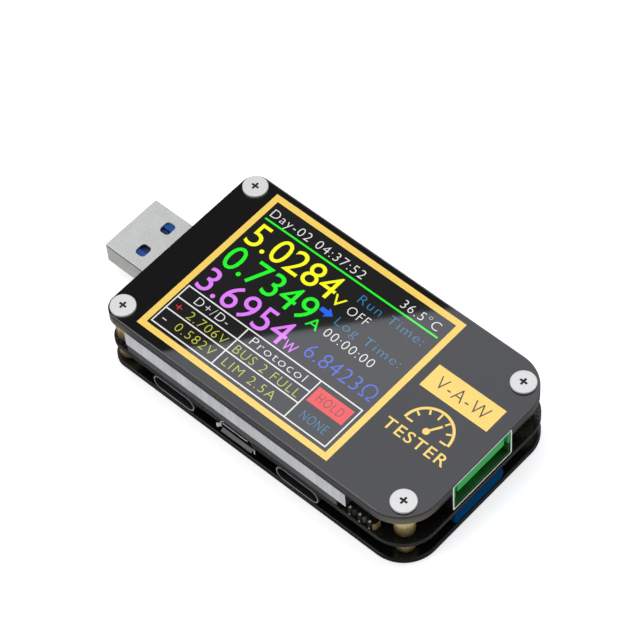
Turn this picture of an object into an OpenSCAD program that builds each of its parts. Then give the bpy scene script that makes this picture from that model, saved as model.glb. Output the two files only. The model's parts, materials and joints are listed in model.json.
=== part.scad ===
// In-line meter for a five-volt bus: two plates on brass posts, a display under the upper plate,
// a plug at the -X end, a socket at the +X end, three small ports along the -Y edge, and three
// keys and a slide switch along the +Y edge. Millimetres, +Z up, resting on the lower plate.

/* [Plates] */
// Length of the plates, without the plug
body_len = 64.3; // [62:0.1:70]
// Width of the plates
body_w = 36.1; // [36:0.1:40]
// Corner radius of the upper plate at the plug end
cover_r_plug_end = 2.7; // [2:0.1:4]
// Corner radius of the upper plate at the socket end
cover_r_socket_end = 7.0; // [4:0.1:9]
// Corner radius of the board and the lower plate at the plug end
board_r_plug_end = 3.2; // [2:0.1:4]
// Corner radius of the board and the lower plate at the socket end
board_r_socket_end = 6.4; // [4:0.1:9]

/* [Stack, from the bottom up] */
// Thickness of the lower plate
base_t = 1.2; // [1.1:0.1:1.6]
// Gap between the lower plate and the board
lower_gap = 3.65; // [3.5:0.05:5]
// Thickness of the board
board_t = 1.0; // [0.8:0.1:1.2]
// Gap between the board and the upper plate
upper_gap = 5.35; // [5.2:0.05:7]
// Thickness of the upper plate
cover_t = 2.2; // [2:0.1:3]

/* [Posts and screws] */
// Outer diameter of the posts
post_d = 3.5; // [3.2:0.1:4]
// Distance from the plate's end and sides to the posts at the plug end
post_inset_plug_end = 2.5; // [2.3:0.1:2.7]
// Distance from the plate's end and sides to the posts at the socket end
post_inset_socket_end = 3.9; // [3.5:0.1:4.5]
// Nominal screw size
screw_d = 2.0; // [2:0.1:2.2]
// Diameter of the upper screws' flat heads
head_d = 4.3; // [4:0.1:4.6]
// Height of the upper screws' flat heads
head_h = 0.5; // [0.5:0.1:1]

/* [Plug] */
// How far the plug stands out of the plates
plug_out = 12.1; // [11.8:0.1:13]
// Sideways place of the plug
plug_y = 0.45; // [-0.5:0.05:0.5]
// Width of the plug's shell
plug_w = 12.0; // [12:0.1:12.1]
// Height of the plug's shell
plug_h = 4.5; // [4.4:0.1:4.6]

/* [Socket] */
// Sideways place of the socket
socket_y = -0.3; // [-1:0.1:1]
// Width of the socket's shell
socket_w = 14.0; // [13.8:0.1:14.2]
// Height of the socket's shell
socket_h = 6.6; // [6.5:0.1:6.6]
// Depth of the socket's shell
socket_depth = 11.0; // [10.5:0.1:11.2]
// Thickness of the plate left over the socket
socket_skin = 0.35; // [0.3:0.05:0.5]

/* [Small ports] */
// Place along X of the first oval port
port_a_x = -11.3; // [-13:0.1:-10]
// Place along X of the flared port
port_b_x = 2.3; // [1:0.1:3]
// Place along X of the second oval port
port_c_x = 15.3; // [14:0.1:16]

/* [Keys and switch] */
// Place along X of the middle key
keys_x = -6.0; // [-8:0.5:-4]
// Distance between keys
key_pitch = 9.0; // [8:0.5:10]
// Travel of a key
key_travel = 0.25; // [0.2:0.05:0.3]
// Place along X of the slide switch
switch_x = 17.0; // [15:0.5:20]
// Travel of the slide switch
switch_travel = 2.0; // [1.5:0.5:2]

/* [Hidden] */
$fn = 64;

// Plates: ends and sides
plate_x0 = plug_out - (body_len + plug_out) / 2;
plate_x1 = plate_x0 + body_len;
half_w = body_w / 2;

// Levels of the stack
board_z = base_t + lower_gap;
board_top = board_z + board_t;
cover_z = board_top + upper_gap;
cover_top = cover_z + cover_t;

// Posts: [x, y] of each, and the holes that their screws pass through
post_x_plug = plate_x0 + post_inset_plug_end;
post_x_socket = plate_x1 - post_inset_socket_end;
POSTS = [
    for (side = [-1, 1]) [post_x_plug, side * (half_w - post_inset_plug_end)],
    for (side = [-1, 1]) [post_x_socket, side * (half_w - post_inset_socket_end)]
];
screw_hole_d = screw_d + 0.2;
post_bore_d = screw_d + 0.1;
countersink_d = 3.8;
cross_len = 1.4;
cross_w = 0.36;
cross_depth = 0.35;

// Display module: it lies under the upper plate and ends short of the socket
lcd_x0 = plate_x0 + 4.65;
lcd_x1 = plate_x1 - 12.5;
lcd_len = lcd_x1 - lcd_x0;
lcd_w = 36.0;
lcd_h = 3.45;
lcd_top = cover_z - 0.1;
lcd_z = lcd_top - lcd_h;
lcd_wall = 0.9;
lcd_mid_x = (lcd_x0 + lcd_x1) / 2;
lcd_floor = 0.5;
backlight_t = 1.3;
panel_t = 1.3;
spacer_h = lcd_z - board_top;

// Display's ribbon and the connector that it ends in
flex_t = 0.15;
flex_w = 7;
flex_y = -10.6;
flex_x = lcd_x0 + 4;
flex_run = 6;
flex_r = 0.7;
flex_z = lcd_z - flex_r - flex_t / 2;
flex_grip = 2;

// Plug: it sits in a notch in the board, half above it and half below
sheet = 0.3;
plug_tip = plate_x0 - plug_out;
plug_end = plate_x0 + 6;
plug_z = board_z - 0.1;
plug_void_h = 2.0;
plug_void_depth = 9.2;
plug_in_w = plug_w - 2 * sheet;
plug_in_h = plug_h - 2 * sheet;
plug_floor = plug_z - plug_in_h / 2;
tongue_top = plug_floor + plug_in_h - plug_void_h;
plug_window_x = plug_tip + 5.6;
plug_window_y = 2.9;
notch_gap = 0.1;

// Socket: its shell stands on a plastic foot and its top lies in a pocket in the upper plate
socket_top = cover_top - socket_skin - 0.05;
socket_z = socket_top - socket_h / 2;
socket_x0 = plate_x1 - socket_depth;
socket_in_w = socket_w - 2 * sheet;
socket_in_h = socket_h - 2 * sheet;
cavity_w = 12.5;
cavity_h = 5.12;
cavity_depth = 10;
tongue_w = 11.1;
tongue_t = 1.84;
tongue_gap = 0.62;
tongue_z = socket_z + cavity_h / 2 - tongue_gap - tongue_t;

// Small ports: the oval ones hang under the board, the flared one is sunk into a notch in it
oval_w = 8.94;
oval_h = 3.26;
oval_wall = 0.25;
oval_depth = 7.3;
oval_z = board_z - oval_h / 2;
micro_h = 2.5;
micro_sink = 0.6;
micro_z = board_z - micro_h / 2 + micro_sink;
micro_depth = 5;
micro_wall = 0.25;
micro_lip = 0.55;
micro_half_w = 3.75;
micro_notch_w = 7;
micro_notch_depth = 5.55;

// Keys and slide switch, hung under the board
key_w = 4.6;
key_depth = 3.4;
key_h = 3.2;
cap_w = 2.4;
cap_h = 1.4;
cap_out = 0.9;
cap_gap = 0.12;
cap_len = cap_out + 1.3;
key_z = board_z - key_h / 2;
key_x = [for (i = [-1:1]) keys_x + i * key_pitch];
key_face = half_w - 0.6;
cap_y0 = half_w + cap_out - cap_len;
switch_w = 8.5;
knob_w = 2.0;
knob_y0 = key_face - 1.4;

// Pin header: the x of each pin, and its row's y
header_x = [for (i = [0:2]) plate_x0 + 52.4 + 2 * i];
header_y = -half_w + 1.3;
header_h = 1.75;
pin = 0.5;
pin_forward = 0.85;
pin_out = 0.25;

// A flat rectangle with four round corners, centred on the origin
module round_rect(w, h, r) {
    square([w - 2 * r, h], center = true);
    square([w, h - 2 * r], center = true);
    for (i = [-1, 1], j = [-1, 1])
        translate([i * (w / 2 - r), j * (h / 2 - r)]) circle(r);
}

// The outline that the plates and the board share, with its own radius at each end
module plate_outline(r_plug, r_socket) {
    translate([plate_x0 + r_plug, -half_w])
        square([body_len - r_plug - r_socket, body_w]);
    translate([plate_x0, -half_w + r_plug])
        square([r_plug, body_w - 2 * r_plug]);
    translate([plate_x1 - r_socket, -half_w + r_socket])
        square([r_socket, body_w - 2 * r_socket]);
    for (side = [-1, 1]) {
        translate([plate_x0 + r_plug, side * (half_w - r_plug)]) circle(r_plug);
        translate([plate_x1 - r_socket, side * (half_w - r_socket)]) circle(r_socket);
    }
}

// Places a copy at each post
module at_posts(z) {
    for (p = POSTS) translate([p[0], p[1], z]) children();
}

// A box centred in X and Y, standing on z = 0
module block(size) {
    translate([-size[0] / 2, -size[1] / 2, 0]) cube(size);
}

// A slab with rounded vertical corners, centred in X and Y, standing on z = 0
module slab(w, d, h, r) {
    linear_extrude(h) round_rect(w, d, r);
}

// Points a flat outline along +X, from x0, with its width along Y
module along_x(x0, len) {
    translate([x0, 0, 0]) rotate([90, 0, 90]) linear_extrude(len) children();
}

// Points a flat outline along +Y, from y0, with its width along X
module along_y(y0, len) {
    translate([0, y0 + len, 0]) rotate([90, 0, 0]) linear_extrude(len) children();
}

// The cross in a screw's head, cut down from z = 0
module cross_recess() {
    for (turn = [0, 90])
        rotate([0, 0, turn])
            translate([-cross_len / 2, -cross_w / 2, -cross_depth])
                cube([cross_len, cross_w, cross_depth + 0.1]);
}

// ---- Plates and board

module top_plate() {
    color([0.09, 0.09, 0.1])
        difference() {
            translate([0, 0, cover_z])
                linear_extrude(cover_t) plate_outline(cover_r_plug_end, cover_r_socket_end);
            at_posts(cover_z - 1) cylinder(h = cover_t + 2, d = screw_hole_d);
            // Pocket that takes the top of the socket
            translate([socket_x0 - 1.2, socket_y - socket_w / 2 - 0.1, cover_z - 1])
                cube([socket_depth + 2, socket_w + 0.2, socket_top + 0.05 - cover_z + 1]);
        }
}

module bottom_plate() {
    color([0.07, 0.07, 0.08])
        difference() {
            linear_extrude(base_t) plate_outline(board_r_plug_end, board_r_socket_end);
            at_posts(-1) cylinder(h = base_t + 2, d = screw_hole_d);
            at_posts(0) countersink(0.05);
        }
}

module main_board() {
    color([0.05, 0.05, 0.06])
        translate([0, 0, board_z])
            difference() {
                linear_extrude(board_t) plate_outline(board_r_plug_end, board_r_socket_end);
                at_posts(-1) cylinder(h = board_t + 2, d = screw_hole_d);
                translate([plate_x0 - 1, plug_y - plug_w / 2 - notch_gap, -1])
                    cube([plug_end - plate_x0 + 1 + notch_gap, plug_w + 2 * notch_gap, board_t + 2]);
                translate([port_b_x - micro_notch_w / 2, -half_w - 1, -1])
                    cube([micro_notch_w, micro_notch_depth + 1, board_t + 2]);
            }
}

// ---- Posts and screws

module post(len) {
    difference() {
        cylinder(h = len, d = post_d);
        translate([0, 0, -1]) cylinder(h = len + 2, d = post_bore_d);
    }
}

module upper_standoffs() {
    color([0.6, 0.5, 0.3]) at_posts(board_top) post(upper_gap);
}

module lower_standoffs() {
    color([0.6, 0.5, 0.3]) at_posts(base_t) post(lower_gap);
}

// A flat-headed screw that points down, with its head standing on z = 0
module pan_screw(len) {
    difference() {
        union() {
            rotate_extrude()
                polygon([[0, 0], [head_d / 2, 0], [head_d / 2, head_h * 0.8],
                         [head_d / 2 - 0.15, head_h], [0, head_h]]);
            translate([0, 0, -len]) cylinder(h = len + 0.1, d = screw_d);
        }
        translate([0, 0, head_h]) cross_recess();
    }
}

// The cone of a countersunk head with its wide face on z = 0, or of its seat
module countersink(gap) {
    depth = (countersink_d - screw_d) / 2;
    rotate_extrude()
        polygon([[0, -gap], [countersink_d / 2 + gap, -gap], [countersink_d / 2 + gap, 0],
                 [screw_d / 2 + gap, depth], [0, depth]]);
}

// A countersunk screw that points up, with its head's face on z = 0
module flat_screw(len) {
    difference() {
        union() {
            countersink(0);
            cylinder(h = len, d = screw_d);
        }
        mirror([0, 0, 1]) cross_recess();
    }
}

module top_screws() {
    color([0.9, 0.9, 0.89]) at_posts(cover_top) pan_screw(4);
}

module bottom_screws() {
    color([0.8, 0.8, 0.8]) at_posts(0) flat_screw(board_top + 2.8);
}

// ---- Display

module lcd_frame() {
    color([0.73, 0.74, 0.76])
        translate([lcd_mid_x, 0, lcd_z])
            difference() {
                slab(lcd_len, lcd_w, lcd_h, 0.15);
                translate([0, 0, lcd_floor])
                    slab(lcd_len - 2 * lcd_wall, lcd_w - 2 * lcd_wall, lcd_h, 0.3);
            }
}

module lcd_backlight() {
    color([0.95, 0.95, 0.92])
        translate([lcd_mid_x, 0, lcd_z + lcd_floor])
            slab(lcd_len - 2 * lcd_wall - 0.1, lcd_w - 2 * lcd_wall - 0.1, backlight_t, 0.25);
}

module lcd_panel() {
    color([0.15, 0.15, 0.17])
        translate([lcd_mid_x, 0, lcd_z + lcd_floor + backlight_t])
            slab(lcd_len - 2 * lcd_wall - 0.1, lcd_w - 2 * lcd_wall - 0.1, panel_t, 0.25);
}

// Ribbon: it leaves the display's underside, turns back on itself and ends in its connector
module lcd_flex() {
    color([0.75, 0.45, 0.12])
        translate([flex_x, flex_y + flex_w / 2, flex_z])
            rotate([90, 0, 0])
                linear_extrude(flex_w) {
                    translate([0, flex_r - flex_t / 2]) square([2, flex_t]);
                    translate([0, -flex_r - flex_t / 2]) square([flex_run, flex_t]);
                    difference() {
                        circle(flex_r + flex_t / 2);
                        circle(flex_r - flex_t / 2);
                        translate([0, -2]) square([2, 4]);
                    }
                }
}

module flex_connector() {
    color([0.9, 0.88, 0.8])
        translate([flex_x + flex_run - flex_grip, flex_y, 0])
            difference() {
                translate([1.7, 0, board_top]) block([3.4, flex_w + 1.6, 1.1]);
                translate([0, 0, flex_z - flex_r - flex_t / 2 - 0.05])
                    block([2 * flex_grip + 0.1, flex_w + 0.1, flex_t + 0.1]);
            }
}

// Two long strips and a short one that hold the display off the board
module spacer_strips() {
    strip = 2.4;
    front_len = lcd_len - 1.8;
    color([0.29, 0.29, 0.31])
        for (side = [-1, 1])
            translate([lcd_x0 + front_len / 2, side * (lcd_w / 2 - strip / 2), board_top])
                slab(front_len, strip, spacer_h, 0.5);
    color([0.29, 0.29, 0.31])
        translate([lcd_x0 + front_len - strip / 2, 0, board_top])
            slab(strip, lcd_w - 2 * strip - 1, spacer_h, 0.5);
}

// ---- Plug

module plug_shell() {
    seam = 0.14;
    color([0.8, 0.8, 0.79])
        difference() {
            translate([0, plug_y, plug_z])
                difference() {
                    along_x(plug_tip, plug_end - plug_tip) round_rect(plug_w, plug_h, 0.25);
                    along_x(plug_tip - 1, plug_end - plug_tip + 2)
                        round_rect(plug_in_w, plug_in_h, 0.1);
                }
            for (side = [-1, 1])
                translate([plug_window_x, plug_y + side * plug_window_y, plug_z - plug_h])
                    slab(2.0, 2.4, 2 * plug_h, 0.7);
            // Seam where the folded sheet meets, just below one upper edge
            translate([plug_tip - 1, plug_y - plug_w / 2 - 1, plug_z + plug_h / 2 - 0.4])
                cube([plug_end - plug_tip + 2, 1 + seam, seam]);
        }
}

module plug_insulator() {
    void_end = plug_tip + plug_void_depth;
    color([0.08, 0.31, 0.63])
        translate([0, plug_y, 0]) {
            translate([plug_tip + 0.3, -plug_in_w / 2 + 0.25, plug_floor])
                cube([plug_end - plug_tip - 0.3, plug_in_w - 0.5, tongue_top - plug_floor]);
            translate([void_end, -plug_in_w / 2 + 0.25, plug_floor])
                cube([plug_end - void_end, plug_in_w - 0.5, plug_in_h]);
        }
}

module plug_contacts() {
    strip_len = plug_void_depth - 1.6;
    color([0.85, 0.68, 0.3])
        translate([plug_tip, plug_y, tongue_top]) {
            for (y = [-3.5, -1, 1, 3.5])
                translate([1.5 + strip_len / 2, y, 0]) block([strip_len, 1, 0.12]);
            for (y = [-4.5, -2.25, 0, 2.25, 4.5])
                translate([plug_void_depth - 0.7, y, 0]) block([1.2, 0.6, 0.35]);
        }
}

// ---- Socket

module socket_shell() {
    color([0.86, 0.88, 0.86])
        translate([0, socket_y, 0]) {
            translate([0, 0, socket_z])
                difference() {
                    along_x(socket_x0, socket_depth) round_rect(socket_w, socket_h, 0.35);
                    along_x(socket_x0 - 1, socket_depth + 2)
                        round_rect(socket_in_w, socket_in_h, 0.1);
                }
            // Legs that solder to the board
            for (side = [-1, 1])
                translate([socket_x0 + 5, side * (socket_w / 2 - 0.15), board_top])
                    block([2, 0.3, socket_z - socket_h / 2 + 0.4 - board_top]);
        }
}

module socket_insulator() {
    set_back = 0.15;
    cavity_end = plate_x1 - cavity_depth;
    foot_h = socket_z - socket_h / 2 - board_top;
    color([0.2, 0.62, 0.33])
        translate([0, socket_y, 0]) {
            // Lining with the opening that takes a plug
            translate([0, 0, socket_z])
                difference() {
                    along_x(socket_x0, socket_depth - set_back) square([socket_in_w, socket_in_h], true);
                    along_x(cavity_end, cavity_depth + 1) square([cavity_w, cavity_h], true);
                }
            translate([cavity_end - 0.5, -tongue_w / 2, tongue_z])
                cube([cavity_depth + 0.5 - 0.35, tongue_w, tongue_t]);
            // Rear wall and the foot that it joins to the lining
            translate([socket_x0 - 1, -socket_in_w / 2, board_top])
                cube([1, socket_in_w, socket_top - board_top]);
            translate([socket_x0 - 0.5, -socket_in_w / 2, board_top])
                cube([socket_depth, socket_in_w, foot_h]);
        }
}

module socket_contacts() {
    contact_t = 0.2;
    color([0.75, 0.55, 0.35])
        for (y = [-3.5, -1, 1, 3.5])
            translate([plate_x1 - cavity_depth / 2 - 0.7, socket_y + y, tongue_z - contact_t])
                block([cavity_depth - 2, 1, contact_t]);
}

// Blue moulded block under the board's edge, below the socket
module edge_block() {
    block_h = 2.8;
    color([0.0, 0.22, 0.42])
        translate([0, -1, board_z - 0.55 - block_h / 2])
            along_x(plate_x1 - 3.2, 3.1) round_rect(11.6, block_h, 0.9);
    color([0.0, 0.22, 0.42])
        translate([plate_x1 - 2, -0.5, board_z - 0.6]) block([1.6, 7, 0.6]);
}

// ---- Small ports

module oval_shell(x) {
    color([0.78, 0.78, 0.78])
        translate([x, 0, oval_z])
            difference() {
                along_y(-half_w, oval_depth) round_rect(oval_w, oval_h, oval_h / 2 - 0.05);
                along_y(-half_w - 1, oval_depth + 2)
                    round_rect(oval_w - 2 * oval_wall, oval_h - 2 * oval_wall,
                               oval_h / 2 - oval_wall - 0.05);
            }
}

module oval_tongue(x) {
    rear = 1.4;
    recess = 0.9;
    color([0.04, 0.04, 0.04])
        translate([x, 0, oval_z]) {
            along_y(-half_w + recess, oval_depth - recess - 0.2) square([6.7, 0.7], true);
            along_y(-half_w + oval_depth - rear, rear)
                round_rect(oval_w - 2 * oval_wall - 0.04, oval_h - 2 * oval_wall - 0.04,
                           oval_h / 2 - oval_wall - 0.1);
        }
}

module left_c_shell() { oval_shell(port_a_x); }
module left_c_tongue() { oval_tongue(port_a_x); }
module right_c_shell() { oval_shell(port_c_x); }
module right_c_tongue() { oval_tongue(port_c_x); }

// Outline of the flared port, narrow towards the board; inset makes its inner wall
module micro_outline(inset) {
    top = 2.75 - inset;
    wide = micro_half_w - inset;
    up = micro_h / 2 - inset;
    polygon([[-top, up], [top, up], [wide, 0.25], [wide, -up], [-wide, -up], [-wide, 0.25]]);
}

// A lip that leans outwards by rise: its foot is on the shell, its edge stands out in front
module lip(len, rise) {
    rotate([90, 0, 90])
        translate([0, 0, -len / 2])
            linear_extrude(len)
                polygon([[0, 0], [0, micro_wall], [-micro_lip, rise + micro_wall],
                         [-micro_lip, rise]]);
}

module micro_shell() {
    color([0.72, 0.72, 0.72])
        translate([port_b_x, 0, micro_z]) {
            difference() {
                along_y(-half_w + 0.45, micro_depth) micro_outline(0);
                along_y(-half_w - 1, micro_depth + 2) micro_outline(micro_wall);
            }
            translate([0, -half_w + 0.5, 0]) {
                translate([0, 0, micro_h / 2 - micro_wall]) lip(5.2, 0.1);
                translate([0, 0, -micro_h / 2 + micro_wall]) mirror([0, 0, 1]) lip(6.5, 0.5);
                for (side = [-1, 1])
                    translate([side * (micro_half_w - micro_wall), 0, -0.5])
                        rotate([0, side * 90, 0]) lip(1.1, 0.4);
            }
        }
}

module micro_tongue() {
    color([0.04, 0.04, 0.04])
        translate([port_b_x, 0, micro_z]) {
            along_y(-half_w + 1, micro_depth - 0.8) translate([0, 0.35]) square([3.9, 0.65], true);
            along_y(-half_w + micro_depth - 0.8, 1.2) micro_outline(0.27);
        }
}

// ---- Three-way pin header on the board's -Y edge

// One pin: up along the front of the housing, with a flat foot that points at the board's edge
module header_pin(x) {
    foot_y = -half_w + 0.05;
    foot_t = 0.3;
    translate([x, header_y - pin_forward, board_top]) block([pin, pin, header_h + pin_out]);
    translate([x - pin / 2, foot_y, board_top])
        cube([pin, header_y - pin_forward - foot_y, foot_t]);
}

module header_housing() {
    wide = 0.95;
    neck = 0.55;
    color([0.06, 0.06, 0.06])
        for (x = header_x)
            difference() {
                translate([x, header_y, board_top])
                    linear_extrude(header_h)
                        polygon([[-wide, -neck], [-neck, -wide], [neck, -wide], [wide, -neck],
                                 [wide, neck], [neck, wide], [-neck, wide], [-wide, neck]]);
                header_pin(x);
            }
}

module header_pins() {
    color([0.8, 0.65, 0.32]) for (x = header_x) header_pin(x);
}

// ---- Parts soldered to the board

module controller_chip() {
    color([0.08, 0.08, 0.08]) translate([2, 2, board_top]) slab(7, 7, 1.1, 0.3);
}

module converter_chip() {
    color([0.08, 0.08, 0.08]) translate([13, -6, board_top]) slab(5, 4, 1.0, 0.2);
}

module crystal() {
    color([0.75, 0.73, 0.68]) translate([-5, 7, board_top]) slab(3.2, 2.5, 0.8, 0.3);
}

module inductor() {
    color([0.25, 0.25, 0.27])
        translate([3, 3, board_z - 3]) slab(5, 5, 3, 1.2);
}

module capacitors() {
    color([0.75, 0.6, 0.35])
        for (x = [-12, -8.5, 10.5, 14])
            translate([x, -1.5, board_z - 1.8]) slab(2.5, 3.2, 1.8, 0.2);
}

module shunt_resistor() {
    color([0.12, 0.12, 0.12]) translate([24, 2, board_z - 0.8]) slab(3.2, 6.3, 0.8, 0.2);
}

// ---- Keys and slide switch on the +Y edge

module key_bodies() {
    color([0.75, 0.75, 0.75])
        for (x = key_x)
            translate([x, 0, key_z])
                difference() {
                    along_y(key_face - key_depth, key_depth) square([key_w, key_h], true);
                    along_y(cap_y0 - key_travel - 0.15, 4)
                        square([cap_w + 2 * cap_gap, cap_h + 2 * cap_gap], true);
                }
}

module key_cap(x) {
    color([0.1, 0.1, 0.1])
        translate([x, 0, key_z])
            along_y(cap_y0, cap_len) round_rect(cap_w, cap_h, 0.3);
}

module key_cap_up() { key_cap(key_x[0]); }
module key_cap_ok() { key_cap(key_x[1]); }
module key_cap_down() { key_cap(key_x[2]); }

module switch_body() {
    slot_w = knob_w + switch_travel + 2 * cap_gap;
    color([0.78, 0.78, 0.78])
        translate([switch_x, 0, key_z])
            difference() {
                along_y(key_face - key_depth, key_depth) square([switch_w, key_h], true);
                along_y(knob_y0 - cap_gap, 3) square([slot_w, cap_h + 2 * cap_gap], true);
            }
}

// Knob of the slide switch at the -X end of its slot
module switch_slider() {
    color([0.1, 0.1, 0.1])
        translate([switch_x - switch_travel / 2, 0, key_z])
            along_y(knob_y0, half_w + cap_out - knob_y0) square([knob_w, cap_h], true);
}

top_plate();
bottom_plate();
main_board();
upper_standoffs();
lower_standoffs();
top_screws();
bottom_screws();
lcd_frame();
lcd_backlight();
lcd_panel();
lcd_flex();
flex_connector();
spacer_strips();
plug_shell();
plug_insulator();
plug_contacts();
socket_shell();
socket_insulator();
socket_contacts();
edge_block();
left_c_shell();
left_c_tongue();
micro_shell();
micro_tongue();
right_c_shell();
right_c_tongue();
header_housing();
header_pins();
controller_chip();
converter_chip();
crystal();
inductor();
capacitors();
shunt_resistor();
key_bodies();
key_cap_up();
key_cap_ok();
key_cap_down();
switch_body();
switch_slider();
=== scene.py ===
import json
import math

import bmesh
import bpy
from mathutils import Matrix, Vector


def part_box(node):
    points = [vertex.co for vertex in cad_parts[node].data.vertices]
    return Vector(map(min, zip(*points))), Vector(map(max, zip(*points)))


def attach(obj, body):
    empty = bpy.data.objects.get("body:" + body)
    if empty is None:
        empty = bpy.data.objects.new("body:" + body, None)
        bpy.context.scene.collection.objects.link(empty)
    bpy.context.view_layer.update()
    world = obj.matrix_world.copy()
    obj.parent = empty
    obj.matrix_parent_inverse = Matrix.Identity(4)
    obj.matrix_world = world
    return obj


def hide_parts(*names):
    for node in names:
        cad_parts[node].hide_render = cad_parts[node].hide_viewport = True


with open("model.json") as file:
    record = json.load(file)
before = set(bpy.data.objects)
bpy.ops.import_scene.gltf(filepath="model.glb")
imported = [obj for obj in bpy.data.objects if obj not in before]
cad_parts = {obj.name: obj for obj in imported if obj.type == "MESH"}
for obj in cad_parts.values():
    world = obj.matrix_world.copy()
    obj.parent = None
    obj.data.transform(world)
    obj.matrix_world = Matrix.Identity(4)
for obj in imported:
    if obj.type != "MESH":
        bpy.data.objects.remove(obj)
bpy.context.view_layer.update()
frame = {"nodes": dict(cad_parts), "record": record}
NODES = frame["nodes"]
CASE = "case"
MM = 0.001


# ---------------------------------------------------------------- Node helpers

def new_material(name):
    """A material with an empty tree, its Principled shader, and object coordinates in metres."""
    mat = bpy.data.materials.new(name)
    mat.use_nodes = True
    tree = mat.node_tree
    tree.nodes.clear()
    out = tree.nodes.new("ShaderNodeOutputMaterial")
    shader = tree.nodes.new("ShaderNodeBsdfPrincipled")
    coords = tree.nodes.new("ShaderNodeTexCoord")
    tree.links.new(shader.outputs["BSDF"], out.inputs["Surface"])
    return mat, tree, shader, coords


def math_node(tree, operation, a, b=None, clamp=False):
    node = tree.nodes.new("ShaderNodeMath")
    node.operation = operation
    node.use_clamp = clamp
    for socket, value in zip(node.inputs, (a, b)):
        if value is None:
            continue
        if isinstance(value, (int, float)):
            socket.default_value = value
        else:
            tree.links.new(value, socket)
    return node.outputs[0]


def noise(tree, coords, per_mm, stretch=(1, 1, 1), detail=3, roughness=0.5):
    """Noise whose features are about 1 / per_mm millimetres across."""
    mapping = tree.nodes.new("ShaderNodeMapping")
    mapping.inputs["Scale"].default_value = [s * per_mm / MM for s in stretch]
    tree.links.new(coords.outputs["Object"], mapping.inputs["Vector"])
    tex = tree.nodes.new("ShaderNodeTexNoise")
    tex.inputs["Scale"].default_value = 1
    tex.inputs["Detail"].default_value = detail
    tex.inputs["Roughness"].default_value = roughness
    tree.links.new(mapping.outputs["Vector"], tex.inputs["Vector"])
    return tex.outputs["Fac"]


def ramp(tree, factor, stops):
    """Colour from a factor. stops is a list of (position, colour)."""
    node = tree.nodes.new("ShaderNodeValToRGB")
    elements = node.color_ramp.elements
    while len(elements) < len(stops):
        elements.new(0.5)
    for element, (position, colour) in zip(elements, stops):
        element.position = position
        element.color = (*colour[:3], 1)
    tree.links.new(factor, node.inputs["Fac"])
    return node.outputs["Color"]


def spread(tree, factor, low, high, near=0.3, far=0.7):
    """Maps the middle of a noise onto low..high."""
    node = tree.nodes.new("ShaderNodeMapRange")
    node.inputs["From Min"].default_value = near
    node.inputs["From Max"].default_value = far
    node.inputs["To Min"].default_value = low
    node.inputs["To Max"].default_value = high
    tree.links.new(factor, node.inputs["Value"])
    return node.outputs["Result"]


def mix_colour(tree, factor, a, b, blend="MIX"):
    node = tree.nodes.new("ShaderNodeMix")
    node.data_type = "RGBA"
    node.blend_type = blend
    sockets = [node.inputs[0], node.inputs[6], node.inputs[7]]
    for socket, value in zip(sockets, (factor, a, b)):
        if isinstance(value, (int, float)):
            socket.default_value = value
        elif isinstance(value, (tuple, list)):
            socket.default_value = (*value[:3], 1)
        else:
            tree.links.new(value, socket)
    return node.outputs[2]


def add_bump(tree, shader, height, depth_mm):
    bump = tree.nodes.new("ShaderNodeBump")
    bump.inputs["Strength"].default_value = 1.0
    bump.inputs["Distance"].default_value = depth_mm * MM
    tree.links.new(height, bump.inputs["Height"])
    tree.links.new(bump.outputs["Normal"], shader.inputs["Normal"])


def parts_xyz(tree, coords, kind="Object"):
    """X, Y and Z of a coordinate: Object is the place in metres, Normal the way the face looks."""
    node = tree.nodes.new("ShaderNodeSeparateXYZ")
    tree.links.new(coords.outputs[kind], node.inputs[0])
    return node.outputs


def reach_from(tree, x, y, px, py):
    """Distance from an upright axis at (px, py) and its mirror image at (px, -py)."""
    dx = math_node(tree, "SUBTRACT", x, px)
    dy = math_node(tree, "SUBTRACT", math_node(tree, "ABSOLUTE", y), py)
    squares = math_node(tree, "ADD", math_node(tree, "MULTIPLY", dx, dx),
                        math_node(tree, "MULTIPLY", dy, dy))
    return math_node(tree, "SQRT", squares)


def above(tree, value, limit):
    return math_node(tree, "GREATER_THAN", value, limit)


def below(tree, value, limit):
    return math_node(tree, "LESS_THAN", value, limit)


def both(tree, a, b):
    return math_node(tree, "MULTIPLY", a, b)


def tinted(colour, factor):
    return tuple(min(1, c * factor) for c in colour)


def finish_material(name, colour, rough, vary=0.12, bump_mm=0.004, specular=0.5):
    """A moulded, machined or printed finish: mottled colour, uneven gloss and a fine grain."""
    mat, tree, shader, coords = new_material(name)
    broad = noise(tree, coords, 2.0, detail=4)
    fine = noise(tree, coords, 8.0)
    colours = ramp(tree, broad, [(0.3, tinted(colour, 1 - vary)), (0.7, tinted(colour, 1 + vary))])
    tree.links.new(colours, shader.inputs["Base Color"])
    tree.links.new(spread(tree, fine, rough[0], rough[1]), shader.inputs["Roughness"])
    shader.inputs["IOR"].default_value = 1.5
    shader.inputs["Specular IOR Level"].default_value = specular
    add_bump(tree, shader, fine, bump_mm)
    return mat


def ink_material(name, colour, glow, ior=1.5, rough=(0.02, 0.035), vary=0.06, painted_glow=0.0):
    """Something seen through the clear cover: the screen's own light, or print that may have a painted glow.
    """
    mat, tree, shader, coords = new_material(name)
    cells = noise(tree, coords, 6.0, detail=2)
    shades = ramp(tree, cells, [(0.3, tinted(colour, 1 - vary)), (0.7, tinted(colour, 1 + vary))])
    if glow:
        shader.inputs["Base Color"].default_value = (*tinted(colour, 0.02), 1)
        tree.links.new(shades, shader.inputs["Emission Color"])
        shader.inputs["Emission Strength"].default_value = glow
    else:
        tree.links.new(shades, shader.inputs["Base Color"])
    # Print given a glow here shines in its own colour: painted light.
    if painted_glow:
        tree.links.new(shades, shader.inputs["Emission Color"])
        shader.inputs["Emission Strength"].default_value = painted_glow
    tree.links.new(spread(tree, cells, rough[0], rough[1]), shader.inputs["Roughness"])
    shader.inputs["IOR"].default_value = ior
    return mat


# ---------------------------------------------------------------- Mesh helpers

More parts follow.
